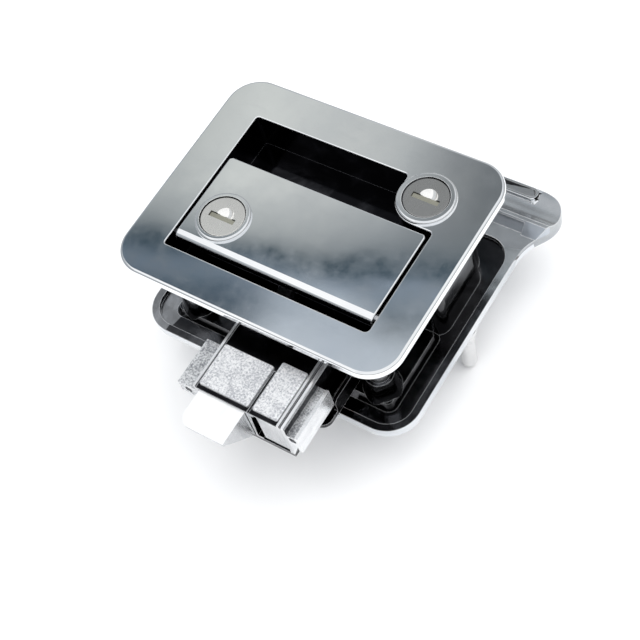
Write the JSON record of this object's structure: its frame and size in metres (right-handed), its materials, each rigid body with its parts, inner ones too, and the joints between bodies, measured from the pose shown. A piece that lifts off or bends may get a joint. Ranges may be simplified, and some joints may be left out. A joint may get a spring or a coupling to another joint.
{
  "type": "paddle latch",
  "caption": "Flush paddle latch with a recessed lifting paddle, two key locks, a spring latch bolt, a sliding deadbolt and a room-side plate with pull handle and thumb-turn.",
  "frame": {"origin": "centre of the outer bezel on the plane of its back face, which is the door's outer skin", "axes": "+Z out of the door towards the user outside, +X along the long side of the bezel towards the deadbolt lock, -Y towards the door edge, where the latch bolt and the deadbolt come out"},
  "size_m": [0.1323, 0.1609, 0.0807],
  "materials": {
    "chrome_casting": "mirror-bright chrome plating",
    "satin_nickel": "satin nickel",
    "raw_zinc": "bright rough-cast zinc alloy",
    "bolt_steel": "bright nickel-plated",
    "zinc_plated_steel": "zinc plated",
    "fastener_steel": "zinc plated",
    "spring_steel": "drawn wire",
    "satin_knob": "pale satin",
    "dark_handle": "gloss black"
  },
  "bodies": {
    "housing": {"outer_housing": "chrome_casting", "paddle_hinge_pin": "fastener_steel", "paddle_return_spring": "spring_steel", "deadbolt_cylinder_body": "raw_zinc", "cylinder_roll_pin": "fastener_steel", "latch_case": "raw_zinc", "latch_case_cover": "zinc_plated_steel", "case_cover_screws": "fastener_steel", "case_fixing_screws": "fastener_steel", "latch_bolt_spring": "spring_steel", "inner_plate": "chrome_casting", "mounting_screws": "fastener_steel", "inner_handle_pin": "fastener_steel", "inner_handle_spring": "spring_steel"},
    "paddle": {"paddle_plate": "chrome_casting", "paddle_tail_lever": "zinc_plated_steel", "tail_lever_screws": "fastener_steel", "paddle_lock_body": "chrome_casting", "paddle_lock_clip": "fastener_steel"},
    "paddle_lock": {"paddle_lock_plug": "satin_nickel", "paddle_keyway_shutter": "satin_nickel", "paddle_lock_cam": "zinc_plated_steel", "paddle_lock_cam_screw": "fastener_steel"},
    "latch_bolt": {"latch_tongue": "bolt_steel", "bolt_carriage": "zinc_plated_steel", "bolt_carriage_pins": "zinc_plated_steel"},
    "inner_lever": {"inner_handle": "dark_handle", "inner_handle_tail": "zinc_plated_steel", "inner_tail_rivets": "zinc_plated_steel"},
    "deadbolt": {"deadbolt_bar": "bolt_steel", "deadbolt_link": "zinc_plated_steel", "deadbolt_link_rivets": "zinc_plated_steel"},
    "thumb_turn": {"thumb_turn": "satin_knob", "deadbolt_spindle": "zinc_plated_steel", "deadbolt_crank": "zinc_plated_steel", "crank_pin": "zinc_plated_steel", "spindle_clip": "fastener_steel", "thumb_turn_screw": "fastener_steel"},
    "deadbolt_key": {"deadbolt_plug": "satin_nickel", "deadbolt_plug_clip": "fastener_steel", "deadbolt_keyway_shutter": "satin_nickel"}
  },
  "joints": [
    {"name": "paddle_lift", "type": "hinge", "parent": "housing", "child": "paddle", "pos_m": [0, -0.0252, -0.0001], "axis": [1, 0, 0], "range_deg": [0, 35], "stiffness_Nm_per_rad": 0.05, "springref_deg": -20.05, "deforming": ["paddle_return_spring"]},
    {"name": "latch_slide", "type": "slide", "parent": "housing", "child": "latch_bolt", "axis": [0, 1, 0], "range_m": [0, 0.01449], "deforming": ["latch_bolt_spring"]},
    {"name": "inner_handle_pull", "type": "hinge", "parent": "housing", "child": "inner_lever", "pos_m": [0, -0.017, -0.0415], "axis": [1, 0, 0], "range_deg": [-46.12, 0], "deforming": ["inner_handle_spring"]},
    {"name": "paddle_key_turn", "type": "hinge", "parent": "paddle", "child": "paddle_lock", "pos_m": [-0.0305, -0.014, 0], "axis": [0, 0, 1], "range_deg": [0, 90]},
    {"name": "thumb_turn_rotate", "type": "hinge", "parent": "housing", "child": "thumb_turn", "pos_m": [0.036, 0.0256, -0.045], "axis": [0, 0, 1], "range_deg": [0, 90]},
    {"name": "deadbolt_slide", "type": "slide", "parent": "housing", "child": "deadbolt", "axis": [0, -1, 0], "range_m": [0, 0.01414]},
    {"name": "deadbolt_key_turn", "type": "hinge", "parent": "housing", "child": "deadbolt_key", "pos_m": [0.036, 0.0256, 0], "axis": [0, 0, 1], "range_deg": [0, 90]}
  ],
  "couplings": [
    {"joint": "latch_slide", "follows": "paddle_lift", "m_per_rad": 0.023727},
    {"joint": "inner_handle_pull", "follows": "paddle_lift", "ratio": -1.3178},
    {"joint": "deadbolt_slide", "follows": "thumb_turn_rotate", "m_per_rad": 0.0090032},
    {"joint": "deadbolt_key_turn", "follows": "thumb_turn_rotate", "ratio": 1}
  ]
}
